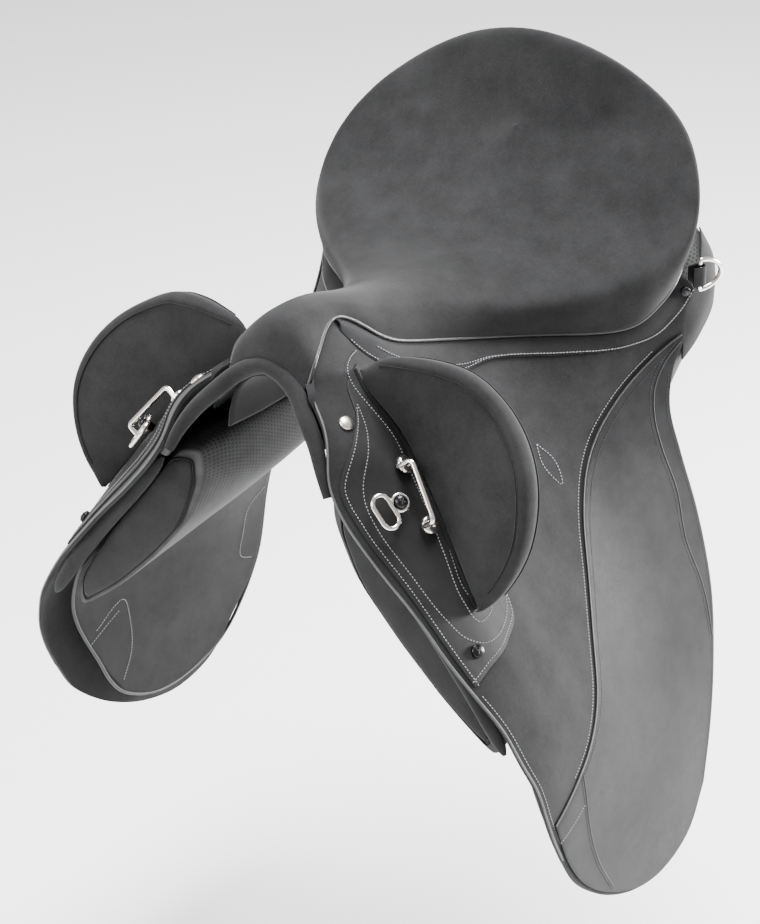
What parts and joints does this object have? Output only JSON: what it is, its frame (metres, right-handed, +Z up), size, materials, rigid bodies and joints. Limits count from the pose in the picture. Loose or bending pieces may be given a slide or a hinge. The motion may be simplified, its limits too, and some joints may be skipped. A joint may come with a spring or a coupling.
{
  "type": "english saddle",
  "caption": "Riding saddle with deep seat, knee poleys, metal staples, stirrup bars, girth straps under lifting flaps, ring and dee fittings and twin panels over an open gullet.",
  "frame": {"origin": "on the saddle's centre plane, over the horse's spine, level with the top of the gullet channel between the panels", "axes": "+Z up, -Y towards the horse's head, +X towards the rider's left (near side)"},
  "size_m": [0.527, 0.4874, 0.6146],
  "materials": {
    "suede": "matt suede",
    "smooth": "satin smooth leather",
    "panel": "perforated soft leather",
    "nickel": "polished nickel",
    "black_steel": "black oxide",
    "foam": "open-cell foam",
    "beech": "laminated beech",
    "webbing": "woven",
    "binding": "satin piping",
    "billet": "strap leather"
  },
  "bodies": {
    "saddle": {"arch_roll": "suede", "dee_tab_near": "smooth", "dee_tab_off": "smooth", "flap_screw_near": "black_steel", "flap_screw_off": "black_steel", "flap_upper_near": "suede", "flap_upper_off": "suede", "front_gusset_near": "suede", "front_gusset_off": "suede", "girth_web_near": "webbing", "girth_web_off": "webbing", "grip_upper_near": "smooth", "grip_upper_off": "smooth", "gullet_lining": "suede", "gullet_plate": "black_steel", "keeper_screw_near": "black_steel", "keeper_screw_off": "black_steel", "knee_patch_near": "smooth", "knee_patch_off": "smooth", "knee_roll_near": "suede", "knee_roll_off": "suede", "panel_near": "panel", "panel_off": "panel", "poley_near": "suede", "poley_off": "suede", "pommel_nail_near": "nickel", "pommel_nail_off": "nickel", "rear_gusset_near": "suede", "rear_gusset_off": "suede", "rear_screw_near": "black_steel", "rear_screw_off": "black_steel", "seat_cover": "suede", "seat_foam": "foam", "seat_welt_near": "binding", "seat_welt_off": "binding", "skirt_near": "suede", "skirt_off": "suede", "staple_lower_screw_near": "nickel", "staple_lower_screw_off": "nickel", "staple_near": "nickel", "staple_off": "nickel", "staple_upper_screw_near": "nickel", "staple_upper_screw_off": "nickel", "stirrup_bar_near": "nickel", "stirrup_bar_off": "nickel", "sweat_flap_near": "smooth", "sweat_flap_off": "smooth", "tree": "beech"},
    "lower_flap_near": {"flap_lower_near": "suede", "grip_lower_near": "smooth"},
    "front_billet_near": {"front_billet_near": "billet"},
    "rear_billet_near": {"rear_billet_near": "billet"},
    "oval_ring_near": {"oval_ring_near": "nickel"},
    "rear_dee_near": {"rear_dee_near": "nickel"},
    "lower_flap_off": {"flap_lower_off": "suede", "grip_lower_off": "smooth"},
    "front_billet_off": {"front_billet_off": "billet"},
    "rear_billet_off": {"rear_billet_off": "billet"},
    "oval_ring_off": {"oval_ring_off": "nickel"},
    "rear_dee_off": {"rear_dee_off": "nickel"}
  },
  "joints": [
    {"name": "flap_lift_near", "type": "hinge", "parent": "saddle", "child": "lower_flap_near", "pos_m": [0.22, -0.05, -0.14], "axis": [0, -1, 0], "range_deg": [0, 75]},
    {"name": "front_billet_swing_near", "type": "hinge", "parent": "saddle", "child": "front_billet_near", "pos_m": [0.16338, -0.07855, -0.10663], "axis": [1, 0, 0], "range_deg": [-8, 8]},
    {"name": "rear_billet_swing_near", "type": "hinge", "parent": "saddle", "child": "rear_billet_near", "pos_m": [0.16418, -0.01901, -0.10592], "axis": [1, 0, 0], "range_deg": [-8, 8]},
    {"name": "ring_swivel_near", "type": "hinge", "parent": "saddle", "child": "oval_ring_near", "pos_m": [0.12221, -0.19323, -0.00578], "axis": [0.7309, -0.3589, 0.5805], "range_deg": [-50, 50]},
    {"name": "dee_swing_near", "type": "hinge", "parent": "saddle", "child": "rear_dee_near", "pos_m": [0.1775, 0.157, 0.058], "axis": [0, 0, -1], "range_deg": [-15, 100]},
    {"name": "flap_lift_off", "type": "hinge", "parent": "saddle", "child": "lower_flap_off", "pos_m": [-0.22, -0.05, -0.14], "axis": [0, 1, 0], "range_deg": [0, 75]},
    {"name": "front_billet_swing_off", "type": "hinge", "parent": "saddle", "child": "front_billet_off", "pos_m": [-0.16338, -0.07855, -0.10663], "axis": [1, 0, 0], "range_deg": [-8, 8]},
    {"name": "rear_billet_swing_off", "type": "hinge", "parent": "saddle", "child": "rear_billet_off", "pos_m": [-0.16418, -0.01901, -0.10592], "axis": [1, 0, 0], "range_deg": [-8, 8]},
    {"name": "ring_swivel_off", "type": "hinge", "parent": "saddle", "child": "oval_ring_off", "pos_m": [-0.12221, -0.19323, -0.00578], "axis": [0.7309, 0.3589, -0.5805], "range_deg": [-50, 50]},
    {"name": "dee_swing_off", "type": "hinge", "parent": "saddle", "child": "rear_dee_off", "pos_m": [-0.1775, 0.157, 0.058], "axis": [0, 0, 1], "range_deg": [-15, 100]}
  ]
}
